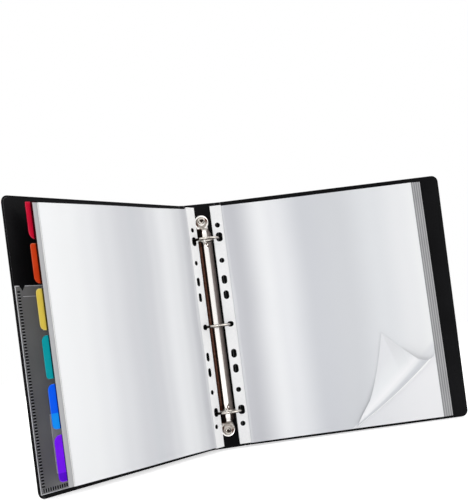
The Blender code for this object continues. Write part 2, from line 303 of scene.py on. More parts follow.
def axis(tree, name):
    """One of the Object coordinates: X, Y or Z."""
    coords = add(tree, "ShaderNodeTexCoord", {}, {})
    return add(tree, "ShaderNodeSeparateXYZ", {}, {"Vector": coords.outputs["Object"]}).outputs[name]


def ramp(tree, value, stops):
    """A colour ramp over a value, from pairs of place and hex code."""
    node = add(tree, "ShaderNodeValToRGB", {}, {"Fac": value})
    elements = node.color_ramp.elements
    for element, (place, code) in zip(elements, (stops[0], stops[-1])):
        element.position = place
        element.color = linear(code)
    for place, code in stops[1:-1]:
        elements.new(place).color = linear(code)
    return node


def mottle(tree, noise, dark, light):
    """The colour of a surface that is mottled between two tones."""
    return ramp(tree, noise.outputs["Fac"], [(0.3, dark), (0.7, light)]).outputs["Color"]


def roughen(tree, shader, noise, strength, depth):
    """Raise a shader's surface by a noise."""
    bump = add(tree, "ShaderNodeBump", {"Strength": strength, "Distance": depth},
               {"Height": noise.outputs["Fac"]})
    tree.links.new(bump.outputs["Normal"], shader.inputs["Normal"])


# Extruded polypropylene sheet with a fine sand grain: a deep matt black, a little lighter in broad clouds.
# The real grain is about 0.3 mm; it is drawn at 0.8 mm so that it shows.
cover_black, tree, shader = new_material(
    "polypropylene_sheet_black", "#101011",
    {"Roughness": 0.55, "IOR": 1.49, "Specular IOR Level": 0.06})
grain = speckle(tree, 0.0008, 3, 0.6)
cloud = speckle(tree, 0.09, 2)
mixed = add(tree, "ShaderNodeMath", {"operation": "MULTIPLY"},
            {0: grain.outputs["Fac"], 1: cloud.outputs["Fac"]})
tone = ramp(tree, mixed.outputs["Value"], [(0.16, "#050506"), (0.36, "#141416")])
tree.links.new(tone.outputs["Color"], shader.inputs["Base Color"])
roughen(tree, shader, grain, 0.35, 0.0002)

# The same sheet where a score line or a pressed border has stretched it: paler and smoother. On the front
# board's outer edge the pale border is also a painted highlight.
scored_black_and_rim_highlight, tree, shader = new_material(
    "polypropylene_scored_line_and_rim_highlight", "#4c4c4e",
    {"Roughness": 0.38, "IOR": 1.49, "Specular IOR Level": 0.4})
streak = speckle(tree, 0.004, 2)
tree.links.new(mottle(tree, streak, "#3c3c3e", "#5a5a5c"), shader.inputs["Base Color"])

# Hot bar welds: film pressed into the sheet, a wet-looking black.
weld_black, tree, shader = new_material(
    "hot_bar_weld_black", "#040405",
    {"Roughness": 0.4, "IOR": 1.49, "Specular IOR Level": 0.06})
melt = speckle(tree, 0.0015, 2)
roughen(tree, shader, melt, 0.3, 0.0002)


def clear_film(name, code, cover, cloudy, inner=None):
    """Cast polypropylene film: a clear skin with a milky haze that greys the black behind it. An inner colour
    takes over away from the outer edge, towards the binding: painted light against the shade there."""
    material, tree, shader = new_material(
        name, code, {"Roughness": 0.28, "IOR": 1.49, "Specular IOR Level": 0.35, "Alpha": cover})
    haze = speckle(tree, 0.05, 3)
    level = add(tree, "ShaderNodeMapRange", {"To Min": cover - cloudy, "To Max": cover + cloudy},
                {"Value": haze.outputs["Fac"]})
    tree.links.new(level.outputs["Result"], shader.inputs["Alpha"])
    roughen(tree, shader, haze, 0.08, 0.002)
    if inner:
        outer_x, inner_x = [(front_place @ Vector((POCKET_FAR - away, 0, 0))).x for away in POCKET_SHADE]
        inward = add(tree, "ShaderNodeMapRange", {"From Min": outer_x, "From Max": inner_x},
                     {"Value": axis(tree, "X")})
        tone = ramp(tree, inward.outputs["Result"], [(0, code), (1, inner)])
        tree.links.new(tone.outputs["Color"], shader.inputs["Base Color"])
    return material


# The pocket film turns paler towards the binding: painted light against the pages' shade.
pocket_film = clear_film("polypropylene_pocket_film", "#777778", 0.62, 0.015, "#a7a7a8")
card_film = clear_film("polypropylene_card_film", "#cecfd2", 0.76, 0.01)
label_film = clear_film("polypropylene_label_film", "#dadade", 0.26, 0.015)
pressed_film = clear_film("polypropylene_pressed_film", "#a4a4a8", 0.50, 0.01)
film_edge = clear_film("film_cut_edge", "#e6e6ea", 0.78, 0.05)


def bright_nickel(name, code):
    """Bright nickel plate on steel: a mirror with a warm tint, a little uneven from the pressing."""
    material, tree, shader = new_material(name, code, {"Metallic": 0.9, "Roughness": 0.14})
    coords = add(tree, "ShaderNodeTexCoord", {}, {})
    draw = add(tree, "ShaderNodeMapping", {"Scale": (1 / 0.0012, 1 / 0.0012, 1 / 0.03)},
               {"Vector": coords.outputs["Object"]})
    lines = add(tree, "ShaderNodeTexNoise", {"Scale": 1, "Detail": 2}, {"Vector": draw.outputs["Vector"]})
    gloss = add(tree, "ShaderNodeMapRange", {"To Min": 0.09, "To Max": 0.2}, {"Value": lines.outputs["Fac"]})
    tree.links.new(gloss.outputs["Result"], shader.inputs["Roughness"])
    roughen(tree, shader, lines, 0.02, 0.0002)
    return material


def painted_shade_nickel(name, dark, light, metallic=1, roughness=0.3):
    """The same plate painted dull and dark: painted shade, and painted reflection of the dark binding, a
    little mottled.
    """
    material, tree, shader = new_material(name, light, {"Metallic": metallic, "Roughness": roughness})
    stain = speckle(tree, 0.004, 2)
    tree.links.new(mottle(tree, stain, dark, light), shader.inputs["Base Color"])
    return material


nickel = bright_nickel("nickel_plated_steel", "#faf7f3")
nickel_wire = bright_nickel("nickel_plated_wire", "#d6d0c8")
# Painted shade and painted reflection on the plate: on the wires, in the rivets' bores and on the housing's
# right flank.
nickel_painted_shade = painted_shade_nickel("nickel_plated_steel_painted_shade", "#4a4440", "#756d68")
nickel_dark = painted_shade_nickel("nickel_plated_steel_painted_dark", "#1c1614", "#2c2420")
nickel_flank = painted_shade_nickel("nickel_plated_steel_flank_painted_reflection", "#a09490", "#aca09c", 0.25, 0.55)
nickel_shade = painted_shade_nickel("nickel_plated_steel_shade", "#3c302c", "#4a3c38", 0.25, 0.55)

# The housing's plate: bright on its crown, painted darker in the dished pads and beside the crimps, brown and
# dark on the flank that looks at the binding: painted reflection and painted shade. Its "tone" attribute says
# where.
nickel_plate, tree, shader = new_material(
    "nickel_plated_housing", "#faf7f3", {"Metallic": 0.95, "Roughness": 0.16, "Specular IOR Level": 0.06})
place = add(tree, "ShaderNodeAttribute", {"attribute_name": "tone"}, {})
stain = speckle(tree, 0.003, 2)
waver = add(tree, "ShaderNodeMapRange", {"To Min": 0.88, "To Max": 1.12}, {"Value": stain.outputs["Fac"]})
depth = add(tree, "ShaderNodeMath", {"operation": "MULTIPLY", "use_clamp": True},
            {0: place.outputs["Fac"], 1: waver.outputs["Result"]})
tone = ramp(tree, depth.outputs["Value"],
            [(0.0, "#faf7f3"), (0.30, "#a69e96"), (0.62, "#60382a"), (1.0, "#0a0706")])
gloss = add(tree, "ShaderNodeMapRange", {"To Min": 0.13, "To Max": 0.62}, {"Value": depth.outputs["Value"]})
polish = add(tree, "ShaderNodeMapRange", {"From Max": 0.4, "To Min": 0.95, "To Max": 0.45},
             {"Value": depth.outputs["Value"]})
tree.links.new(polish.outputs["Result"], shader.inputs["Metallic"])
tree.links.new(tone.outputs["Color"], shader.inputs["Base Color"])
tree.links.new(gloss.outputs["Result"], shader.inputs["Roughness"])


def sleeve_film(name, stops):
    """Glossy film over white paper: cool white with broad soft bands that run along the binding, painted
    sheen and shade.
    """
    material, tree, shader = new_material(
        name, "#dcdde1", {"Roughness": 0.3, "IOR": 1.49, "Specular IOR Level": 0.3})
    waver = speckle(tree, 0.12, 1)
    coords = add(tree, "ShaderNodeTexCoord", {}, {})
    split = add(tree, "ShaderNodeSeparateXYZ", {}, {"Vector": coords.outputs["UV"]})
    shift = add(tree, "ShaderNodeMapRange", {"To Min": -0.02, "To Max": 0.02},
                {"Value": waver.outputs["Fac"]})
    along = add(tree, "ShaderNodeMath", {"operation": "ADD", "use_clamp": True},
                {0: split.outputs["X"], 1: shift.outputs["Result"]})
    tone = ramp(tree, along.outputs["Value"], stops)
    tone.color_ramp.interpolation = "EASE"
    # Round a rolled corner its painted highlight and painted shade take over.
    rolled = add(tree, "ShaderNodeAttribute", {"attribute_name": "roll"}, {})
    shade = ramp(tree, rolled.outputs["Fac"], ROLL)
    part = add(tree, "ShaderNodeMapRange", {"From Max": 0.06}, {"Value": rolled.outputs["Fac"]})
    mixed = add(tree, "ShaderNodeMix", {"data_type": "RGBA"},
                {0: part.outputs["Result"], 6: tone.outputs["Color"], 7: shade.outputs["Color"]})
    tree.links.new(mixed.outputs[2], shader.inputs["Base Color"])
    roughen(tree, shader, waver, 0.05, 0.003)
    return material


# Painted sheen and shade from the binding to the outer edge, and painted highlight and shade round the rolled
# corner to its tip
LEFT_SHEEN_AND_SHADE = [(0.0, "#dcdde0"), (0.008, "#d8d9dc"), (0.016, "#cbccd0"), (0.03, "#cccdd1"),
              (0.075, "#dcdde0"), (0.148, "#ebecee"), (0.20, "#eeeff1"), (0.29, "#e1e2e5"),
              (0.358, "#d7d8dc"), (0.425, "#d4d6da"), (0.49, "#d7d8dc"), (0.62, "#e2e3e6"),
              (0.737, "#edeef0"), (0.853, "#f3f4f5"), (1.0, "#f6f7f8")]
RIGHT_SHEEN_AND_SHADE = [(0.0, "#d8d9dd"), (0.008, "#d5d6da"), (0.018, "#c8c9ce"), (0.05, "#c6c7cc"),
               (0.20, "#f1f2f4"), (0.26, "#ebecef"), (0.42, "#d1d3d8"), (0.58, "#d4d6da"),
               (0.78, "#e3e5e8"), (0.92, "#edeef0"), (1.0, "#f2f3f4")]
# Painted highlight and painted shade round the rolled corner
ROLL = [(0.0, "#e6e7ea"), (0.10, "#e9eaed"), (0.18, "#e6e7ea"), (0.240, "#dcdee2"), (0.262, "#ffffff"),
        (0.325, "#ffffff"), (0.355, "#d0d2d6"), (0.40, "#ced0d5"), (0.45, "#d8dade"),
        (0.495, "#eff0f2"), (0.53, "#f6f6f8"), (0.60, "#eceef0"), (0.75, "#e4e5e8"), (1.0, "#e3e4e7")]
left_film = sleeve_film("sleeve_film_over_paper_left", LEFT_SHEEN_AND_SHADE)
right_film = sleeve_film("sleeve_film_over_paper_right", RIGHT_SHEEN_AND_SHADE)
# The lower right sleeves: painted shade near the binding, paler towards the outer edge.
under_film = sleeve_film("sleeve_film_over_paper_under",
                         [(0, "#d8d9dd"), (0.6, "#e6e7ea"), (1, "#f2f2f4")])


def margin_film(name, light, dark):
    """The clear margin of a sleeve beyond its paper, greyed by the layers under it."""
    material, tree, shader = new_material(
        name, light, {"Roughness": 0.3, "IOR": 1.49, "Specular IOR Level": 0.3})
    haze = speckle(tree, 0.03, 2)
    tree.links.new(mottle(tree, haze, dark, light), shader.inputs["Base Color"])
    return material


left_margin = margin_film("sleeve_margin_light", "#b8b8ba", "#b2b2b4")
right_margin = margin_film("sleeve_margin_grey", "#929294", "#8a8a8c")
# A paler film for the sleeves' sealed edges: a painted highlight line.
edge_highlight_film = margin_film("sleeve_sealed_edge_painted_highlight", "#bcbcbe", "#b2b2b4")
divider_white = margin_film("divider_sheet_white", "#dedee0", "#d6d6d8")


def strip_plastic(name, low, high):
    """White polypropylene binding strip: satin, with a faint embossed texture of fine grains."""
    material, tree, shader = new_material(
        name, high, {"Roughness": 0.42, "IOR": 1.49, "Specular IOR Level": 0.3})
    emboss = speckle(tree, 0.0018, 2)
    tree.links.new(mottle(tree, emboss, low, high), shader.inputs["Base Color"])
    roughen(tree, shader, emboss, 0.15, 0.0002)
    return material


right_strip = strip_plastic("polypropylene_strip_white", "#efeff0", "#f5f5f5")
# The left strip is a lighter copy of the same plastic: painted light.
left_strip = strip_plastic("polypropylene_strip_painted_light", "#fafafa", "#fefefe")

# Uncoated white card with a faint fibre mottle.
card_white, tree, shader = new_material(
    "card_white", "#efefee", {"Roughness": 0.8, "Specular IOR Level": 0.2})
fibre = speckle(tree, 0.003, 4)
tree.links.new(mottle(tree, fibre, "#eaeae9", "#f2f2f1"), shader.inputs["Base Color"])


def tab_plastic(name, code, deep, band=None):
    """Tinted polypropylene, partly see-through: a strong even colour with a soft gloss. A band gives the
    lower end of a tab the colour that it has over another background, as painted light."""
    material, tree, shader = new_material(
        name, code, {"Roughness": 0.32, "IOR": 1.49, "Specular IOR Level": 0.05, "Alpha": 0.84})
    haze = speckle(tree, 0.02, 2)
    colour = mottle(tree, haze, deep, code)
    if band:
        drop, lower = band
        level = SLEEVE_TOP - drop
        above = add(tree, "ShaderNodeMapRange",
                    {"From Min": level - BAND_SOFT, "From Max": level + BAND_SOFT},
                    {"Value": axis(tree, "Z")})
        mixed = add(tree, "ShaderNodeMix", {"data_type": "RGBA", 6: linear(lower)},
                    {0: above.outputs["Result"], 7: colour})
        colour = mixed.outputs[2]
    tree.links.new(colour, shader.inputs["Base Color"])
    return material


# Tabs that lie partly over the card pocket: how far below the page's top that begins or ends, and the colour
# of the tab below that line, painted light: paler on the blue tab over the card pocket, deeper on the purple
# one below it
BAND_SOFT = 0.0004
BANDS = {"blue": (0.2148, "#0896ff"), "purple": (0.2741, "#5c04d8")}

# Name, colour, deeper colour, edge colour, colour of the root beside the pages (a painted shadow), the
# tab's drop below the page's top, its height, and the radii of its upper and lower corners
TABS = (("red", "#d81238", "#cc1034", "#e04a62", "#5c0616", 0.0023, 0.0377, 0.0015, 0.0075),
        ("orange", "#d84216", "#cc3c12", "#e07858", "#5c1c0c", 0.0443, 0.0403, 0.0030, 0.0065),
        ("yellow", "#e8ce56", "#dec44e", "#eede94", "#605420", 0.0898, 0.0419, 0.0045, 0.0060),
        ("teal", "#00a6b2", "#009ea8", "#3cb8be", "#0a4c54", 0.1369, 0.0434, 0.0065, 0.0035),
        ("blue", "#0062ff", "#005cfc", "#4a8cfc", "#062e80", 0.1858, 0.0450, 0.0065, 0.0050),
        ("purple", "#8012ff", "#760ef4", "#984af8", "#34086c", 0.2366, 0.0466, 0.0075, 0.0050))


# Shared mesh work
def block(bm, low, high):
    """A block between two corners."""
    middle = [(a + b) / 2 for a, b in zip(low, high)]
    size = [b - a for a, b in zip(low, high)]
    matrix = Matrix.Translation(middle) @ Matrix.Diagonal(size + [1])
    return bmesh.ops.create_cube(bm, size=1, matrix=matrix)["verts"]


def soften(bm, edges, offset, segments):
    """Round edges off."""
    return bmesh.ops.bevel(bm, geom=edges, offset=offset, offset_type="OFFSET", segments=segments,
                           profile=0.5, affect="EDGES", material=-1, clamp_overlap=True)


def sharp_edges(bm, angle=50):
    return [e for e in bm.edges if len(e.link_faces) == 2 and e.calc_face_angle() > radians(angle)]


def grid(bm, columns, rows):
    """A flat sheet in the XZ plane, facing -Y, with its lines at the given places."""
    bmesh.ops.create_grid(bm, x_segments=len(columns) - 1, y_segments=len(rows) - 1, size=1)
    for vert in bm.verts:
        column = round((vert.co.x + 1) / 2 * (len(columns) - 1))
        row = round((vert.co.y + 1) / 2 * (len(rows) - 1))
        vert.co = (columns[column], 0, rows[row])


def spread(low, high, step):
    """Even places from one end to the other, about a step apart."""
    count = max(round((high - low) / step), 1)
    return [low + (high - low) * k / count for k in range(count + 1)]


def blend01(value):
    """A soft rise from 0 to 1."""
    value = min(max(value, 0), 1)
    return value * value * (3 - 2 * value)


def thicken(bm, thickness):
    """Give a sheet its thickness, away from the side that it faces."""
    bm.normal_update()
    bmesh.ops.solidify(bm, geom=bm.faces[:], thickness=thickness)


def join(bm, other):
    """Move one mesh into another, and return its faces there."""
    mesh = bpy.data.meshes.new("joined")
    other.to_mesh(mesh)
    other.free()
    before = set(bm.faces)
    bm.from_mesh(mesh)
    bpy.data.meshes.remove(mesh)
    return [face for face in bm.faces if face not in before]


def piece(name, bm, place, materials, body, slot, *nodes):
    """An object from a mesh, riding on a body and standing for the CAD nodes named."""
    bm.transform(place)
    bmesh.ops.recalc_face_normals(bm, faces=bm.faces)
    mesh = bpy.data.meshes.new(name)
    bm.to_mesh(mesh)
    bm.free()
    for material in materials:
        mesh.materials.append(material)
    mesh.shade_smooth()
    mesh.set_sharp_from_angle(angle=radians(38))
    obj = bpy.data.objects.new(name, mesh)
    scene.collection.objects.link(obj)
    if body:
        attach(obj, body)
    if nodes:
        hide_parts(*nodes)
    return obj


# Cover boards
def board(name, near, far, free_corners, rim, place, body, node):
    """A board with softened edges. One with free corners has a pressed border line on both faces, which is
    pale along its outer edge where rim is 1: a painted highlight."""
    bm = bmesh.new()
    block(bm, (near, 0, 0), (far, BOARD_T, COVER_H))
    if free_corners:
        corners = [e for e in bm.edges if all(v.co.x > far - 1e-6 for v in e.verts)
                   and abs(e.verts[0].co.y - e.verts[1].co.y) > 1e-6]
        soften(bm, corners, CORNER_R, 10)
    soften(bm, sharp_edges(bm), EDGE_SOFT, 3)
    if free_corners:
        for face in sorted(bm.faces, key=lambda f: -f.calc_area())[:2]:
            bmesh.ops.inset_region(bm, faces=[face], thickness=BORDER_IN, use_even_offset=True)
            line = bmesh.ops.inset_region(bm, faces=[face], thickness=BORDER_W, depth=-BORDER_DEPTH,
                                          use_even_offset=True)["faces"]
            bmesh.ops.inset_region(bm, faces=[face], thickness=BORDER_SLOPE, depth=BORDER_DEPTH,
                                   use_even_offset=True)
            # Where rim is 1 the border's outer part is painted pale: a painted highlight.
            for part in line:
                part.material_index = rim * (part.calc_center_median().x > far - CORNER_R)
    piece(name, bm, place, [cover_black, scored_black_and_rim_highlight], body, "cover_black", node)


board("spine_board", -SPINE_W / 2, SPINE_W / 2, False, 0, HERE, "spine", "spine_panel")
board("front_strip_board", GAP / 2, STRIP_W - GAP / 2, False, 0, front_strip_place,
      "front_strip", "front_hinge_strip")
board("back_strip_board", GAP / 2, STRIP_W - GAP / 2, False, 0, back_strip_place,
      "back_strip", "back_hinge_strip")
board("front_board", GAP / 2, COVER_W, True, 1, front_place, "front_cover", "front_cover")
board("back_board", GAP / 2, COVER_W, True, 0, back_place, "back_cover", "back_cover")


# Score lines: thin webs that bend between the boards
def score_line(name, first, corner, second):
    """A thin web through three points across a crease, from one board into the next."""
    bm = bmesh.new()
    grid(bm, spread(0, 1, 0.125), spread(WEB, COVER_H - WEB, 0.05))
    for vert in bm.verts:
        u = vert.co.x
        across = first * (1 - u) ** 2 + corner * 2 * u * (1 - u) + second * u ** 2
        vert.co = (across.x, across.y, vert.co.z)
    if first.x > second.x:
        bmesh.ops.reverse_faces(bm, faces=bm.faces)
    thicken(bm, BOARD_T)
    web = piece(name, bm, HERE, [scored_black_and_rim_highlight], None, "cover_black")
    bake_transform(web)


for side, name, strip_place, cover_place in ((-1, "front", front_strip_place, front_place),
                                             (1, "back", back_strip_place, back_place)):
    spine_edge = Vector((side * (CREASE_X - WEB), WEB_Y, 0))
    strip_start = strip_place @ Vector((WEB, WEB_Y, 0))
    crease = (Vector((side * CREASE_X, WEB_Y, 0)) + strip_place @ Vector((0, WEB_Y, 0))) / 2
    score_line(name + "_spine_score", spine_edge, crease, strip_start)
    strip_end = strip_place @ Vector((STRIP_W - WEB, WEB_Y, 0))
    cover_start = cover_place @ Vector((WEB, WEB_Y, 0))
    crease = (strip_place @ Vector((STRIP_W, WEB_Y, 0)) + cover_place @ Vector((0, WEB_Y, 0))) / 2
    score_line(name + "_cover_score", strip_end, crease, cover_start)


# Nodes shown as the solids themselves
def assign(node, material):
    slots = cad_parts[node].data.materials
    slots.clear()
    slots.append(material)


assign("label_holder", label_film)
assign("label_card", card_white)
assign("left_blade", nickel)
assign("right_blade", nickel)


# Film pocket inside the front cover, with its welded seams, cut edges and fold line
def seam(bm, start, step, count, size, y0, y1):
    """A row of welded dashes."""
    for k in range(count):
        x = start[0] + step[0] * k
        z = start[1] + step[1] * k
        block(bm, (x - size[0] / 2, y0, z - size[1] / 2), (x + size[0] / 2, y1, z + size[1] / 2))


# The film, cut with a notch beside its seam
notch_x = POCKET_FAR - NOTCH
notch_far = POCKET_FAR - NOTCH + NOTCH_HALF
notch_near = POCKET_FAR - NOTCH - NOTCH_HALF
outline = [(POCKET_NEAR, POCKET_TOP), (POCKET_NEAR, POCKET_FOOT), (POCKET_FAR, POCKET_FOOT),
           (POCKET_FAR, POCKET_TOP), (notch_far, POCKET_TOP), (notch_x, POCKET_TOP - NOTCH_DEPTH),
           (notch_near, POCKET_TOP)]
bm = bmesh.new()
bm.faces.new([bm.verts.new((x, -2 * FILM_T, z)) for x, z in outline])
film = bmesh.ops.extrude_face_region(bm, geom=bm.faces[:], use_keep_orig=True)["geom"]
bmesh.ops.translate(bm, verts=[g for g in film if isinstance(g, bmesh.types.BMVert)], vec=(0, FILM_T, 0))
piece("pocket_film_sheet", bm, front_place, [pocket_film], "front_cover", "film_clear", "inner_pocket")

# Welded dashes up the outer edge and along the foot
seam_x = POCKET_FAR - SEAM_IN
seam_z = POCKET_FOOT + SEAM_UP
foot_z = seam_z - FOOT_SEAM_DROP
rise = int((POCKET_TOP - SEAM_STOP - seam_z) / SEAM_PITCH)
reach = int((seam_x - POCKET_NEAR - FOOT_SEAM_STOP) / SEAM_PITCH)
bm = bmesh.new()
seam(bm, (seam_x, seam_z + SEAM_PITCH), (0, SEAM_PITCH), rise, (DASH_L, DASH_W), *DASH_Y)
seam(bm, (seam_x, foot_z), (-SEAM_PITCH, 0), reach, (DASH_W, DASH_L), *DASH_Y)
soften(bm, sharp_edges(bm), DASH_SOFT, 1)
piece("pocket_weld_seam", bm, front_place, [weld_black], "front_cover", "cover_black")

# The film between the dashes is pressed and paler
front, back = PRESSED_Y
half = DASH_L / 2
bm = bmesh.new()
block(bm, (seam_x - half, front, seam_z + half), (seam_x + half, back, POCKET_TOP - NOTCH_DEPTH))
block(bm, (POCKET_NEAR + PRESSED_STOP, front, foot_z - half), (seam_x + half, back, foot_z + half))
piece("pocket_pressed_film", bm, front_place, [pressed_film], "front_cover", "film_clear")

# Cut edges at the outer side, the foot and both sides of the notch, and the fold line below the top
front, back = CUT_EDGE_Y
top_low, top_high = POCKET_TOP - TOP_EDGE_W, POCKET_TOP + CUT_EDGE_PROUD
fold_z = POCKET_TOP - FOLD_DROP
bm = bmesh.new()
block(bm, (POCKET_FAR - CUT_EDGE_W, front, POCKET_FOOT), (POCKET_FAR + CUT_EDGE_PROUD, back, POCKET_TOP))
block(bm, (POCKET_NEAR, front, POCKET_FOOT - CUT_EDGE_PROUD), (POCKET_FAR, back, POCKET_FOOT + CUT_EDGE_W))
block(bm, (POCKET_NEAR, front, top_low), (notch_near, back, top_high))
block(bm, (notch_far, front, top_low), (POCKET_FAR, back, top_high))
block(bm, (POCKET_NEAR, FOLD_Y[0], fold_z), (POCKET_FAR - FOLD_STOP, FOLD_Y[1], fold_z + FOLD_W))
soften(bm, sharp_edges(bm), CUT_EDGE_SOFT, 1)
piece("pocket_cut_edge", bm, front_place, [film_edge], "front_cover", "film_clear")

# Card pocket on the film pocket, with its cut edges
x0, z0, x1, z1 = CARD_POCKET
bm = bmesh.new()
block(bm, (x0, CARD_Y[0], z0), (x1, CARD_Y[1], z1))
piece("card_pocket_film", bm, front_place, [card_film], "front_cover", "film_clear", "card_pocket")
front, back = CARD_EDGE_Y
bm = bmesh.new()
block(bm, (x0, front, z0), (x0 + CARD_EDGE_W, back, z1))
block(bm, (x1 - CARD_EDGE_W, front, z0), (x1, back, z1))
block(bm, (x0, front, z1 - CARD_EDGE_W), (x1, back, z1))
block(bm, (x0, front, z0), (x1, back, z0 + CARD_EDGE_W))
soften(bm, sharp_edges(bm), CARD_EDGE_SOFT, 1)
piece("card_pocket_edge", bm, front_place, [film_edge], "front_cover", "film_clear")

# Label holder outside the front cover: dashed welds and cut edges on three sides, open on its outer side
x0, z0, x1, z1 = LABEL
seam_x = x0 + LABEL_SEAM
low_z, high_z = z0 + LABEL_SEAM, z1 - LABEL_SEAM
lengthwise = int((x1 - x0 - LABEL_PITCH) / LABEL_PITCH)
upright = int((z1 - z0 - 2 * LABEL_SEAM) / LABEL_PITCH) - 1
bm = bmesh.new()
for z in (low_z, high_z):
    seam(bm, (seam_x, z), (LABEL_PITCH, 0), lengthwise, (LABEL_DASH_W, LABEL_DASH_L), *LABEL_DASH_Y)
seam(bm, (seam_x, low_z + LABEL_PITCH), (0, LABEL_PITCH), upright, (LABEL_DASH_L, LABEL_DASH_W),
     *LABEL_DASH_Y)
soften(bm, sharp_edges(bm), LABEL_DASH_SOFT, 1)
piece("label_weld_seam", bm, front_place, [weld_black], "front_cover", "cover_black")
back, front = LABEL_EDGE_Y
bm = bmesh.new()
block(bm, (x0, back, z0), (x0 + LABEL_EDGE_W, front, z1))
block(bm, (x0, back, z0), (x1, front, z0 + LABEL_EDGE_W))
block(bm, (x0, back, z1 - LABEL_EDGE_W), (x1, front, z1))
soften(bm, sharp_edges(bm), CUT_EDGE_SOFT, 1)
piece("label_holder_edge", bm, front_place, [film_edge], "front_cover", "film_clear")


# Ring metal
def neck_blend(z):
    """How far the housing has narrowed to its neck at a height."""
    return blend01((abs(z) - (PAD_REACH - PAD_R - NECK_L)) / NECK_L)


def housing_half_width(z):
    """Half the housing's width at a height: the body, the neck or the round pad."""
    pad = sqrt(max(PAD_R ** 2 - (abs(z) - PAD_REACH) ** 2, 0))
    if abs(z) > PAD_REACH:
        return pad
    return max(pad, HOUSING_HALF_W + (HOUSING_NECK - HOUSING_HALF_W) * neck_blend(z))


def crimp(x, z):
    """How far the small crimps beside the top and bottom rings are raised at a point."""
    lift = 0
    for ring_z, way in ((RING_AWAY[0], 1), (RING_AWAY[2], -1)):
        for crimp_x in CRIMP_XS:
            apart = ((x - crimp_x) / CRIMP_W) ** 2 + ((z - ring_z - way * CRIMP_AWAY) / CRIMP_H) ** 2
            lift += CRIMP_LIFT * max(1 - apart / CRIMP_SPREAD, 0)
    return lift


def from_pad(x, z):
    """How far a point is from the middle of its pad, in pad radii."""
    return sqrt(x * x + (abs(z) - PAD_REACH) ** 2) / PAD_R


def fade(value, end, run):
    """1 well below a limit, falling softly to 0 at it."""
    return blend01((end - value) / run)


def within(value, low, rise, high, fall):
    """1 between two limits and 0 outside them, with soft flanks."""
    return blend01((value - low) / rise) * fade(value, high, fall)


# How dark the pads are painted, as painted reflection and painted shade. A ring is given in pad radii: where
# it begins, how soon it is full, where it ends and how softly. The lower pad is also painted darker on its
# inner half.
PAD_SHADE = 0.32
PAD_SHADE_RING = (0.40, 0.12, 0.84, 0.16)
CRESCENT = 0.80
CRESCENT_RING = (0.56, 0.10, 0.90, 0.10)
CRESCENT_TURN = 0.7
FOOT_SHADE = 0.22
FOOT_SHADE_END = PAD_REACH + 0.002
FOOT_SHADE_SOFT = 0.003
FOOT_SHADE_RIM = (1.3, 0.2)
# How dark the plate is painted before its pads, as painted reflection and painted shade, with lengths in
# metres:
# its left flank, the brown part of that and the sides of the crimps
PLATE_TONE_END = PAD_REACH - PAD_R + 0.0012
PLATE_TONE_SOFT = 0.0016
FLANK_SOFT = 0.0004
FLANK_REFLECTION = 0.40
BROWN_SOFT = 0.0006
BROWN_STOP = 0.002
CRIMP_SHADE = 0.85
CRIMP_SIDES = (0, 0.0003, 0.0008, 0.0003)


def painted_plate_shade(x, z):
    """How dark the plate is painted at a point, as painted reflection and shade: dark left of its crown,
    brown further out, darker in the pads.
    """
    up = abs(z)
    out = from_pad(x, z)
    satin = PAD_SHADE * within(out, *PAD_SHADE_RING)
    if z < 0:
        inner_half = fade(up, FOOT_SHADE_END, FOOT_SHADE_SOFT) * fade(out, *FOOT_SHADE_RIM)
        satin = max(satin, FOOT_SHADE * inner_half)
    turn = atan2(up - PAD_REACH, x)
    crescent = CRESCENT * within(out, *CRESCENT_RING) * max(cos(2 * turn - CRESCENT_TURN), 0) ** 2
    beyond_ring = blend01((up - RING_AWAY[2]) / BROWN_STOP)
    brown = FLANK_REFLECTION * fade(x, FLANK - FLANK_DARK_W, BROWN_SOFT) * (1 - beyond_ring)
    dark = fade(x, FLANK, FLANK_SOFT) - brown
    crimped = CRIMP_SHADE * within(crimp(x, z), *CRIMP_SIDES)
    return max(satin, crescent, fade(up, PLATE_TONE_END, PLATE_TONE_SOFT) * max(dark, crimped))


# The housing's plate is drawn as a sheet with a gap for each half ring, then widened, arched and thickened.
# Its last rows stop just short of the pads' ends, where it would have no width.
pad_low = PAD_REACH - PAD_R - NECK_L
across = spread(0, 1, 1 / 14) + [SLOT_NEAR / HOUSING_HALF_W, SLOT_FAR / HOUSING_HALF_W]
across = sorted(set(across + [-a for a in across]))
stations = spread(-STATIONS_END, STATIONS_END, 0.0046)
for ring_z in RING_AWAY:
    stations = [z for z in stations if abs(z - ring_z) > SLOT_ROUND]
    stations += spread(ring_z - SLOT_ROUND, ring_z - SLOT_HALF, SLOT_STEP)
    stations += spread(ring_z + SLOT_HALF, ring_z + SLOT_ROUND, SLOT_STEP)
ends = [pad_low + NECK_L * k / NECK_ROWS for k in range(NECK_ROWS)]
ends += [PAD_REACH - PAD_R * cos(pi * k / (PAD_ROWS + 0.4)) for k in range(PAD_ROWS + 1)]
stations = [z for z in stations if abs(z) < pad_low - 0.0004] + ends + [-z for z in ends]
stations.sort()
bm = bmesh.new()
grid(bm, across, stations)
gaps = []
for face in bm.faces:
    middle = face.calc_center_median()
    in_slot = SLOT_NEAR < abs(middle.x) * HOUSING_HALF_W < SLOT_FAR
    if in_slot and min(abs(middle.z - z) for z in RING_AWAY) < SLOT_HALF:
        gaps.append(face)
bmesh.ops.delete(bm, geom=gaps, context="FACES")
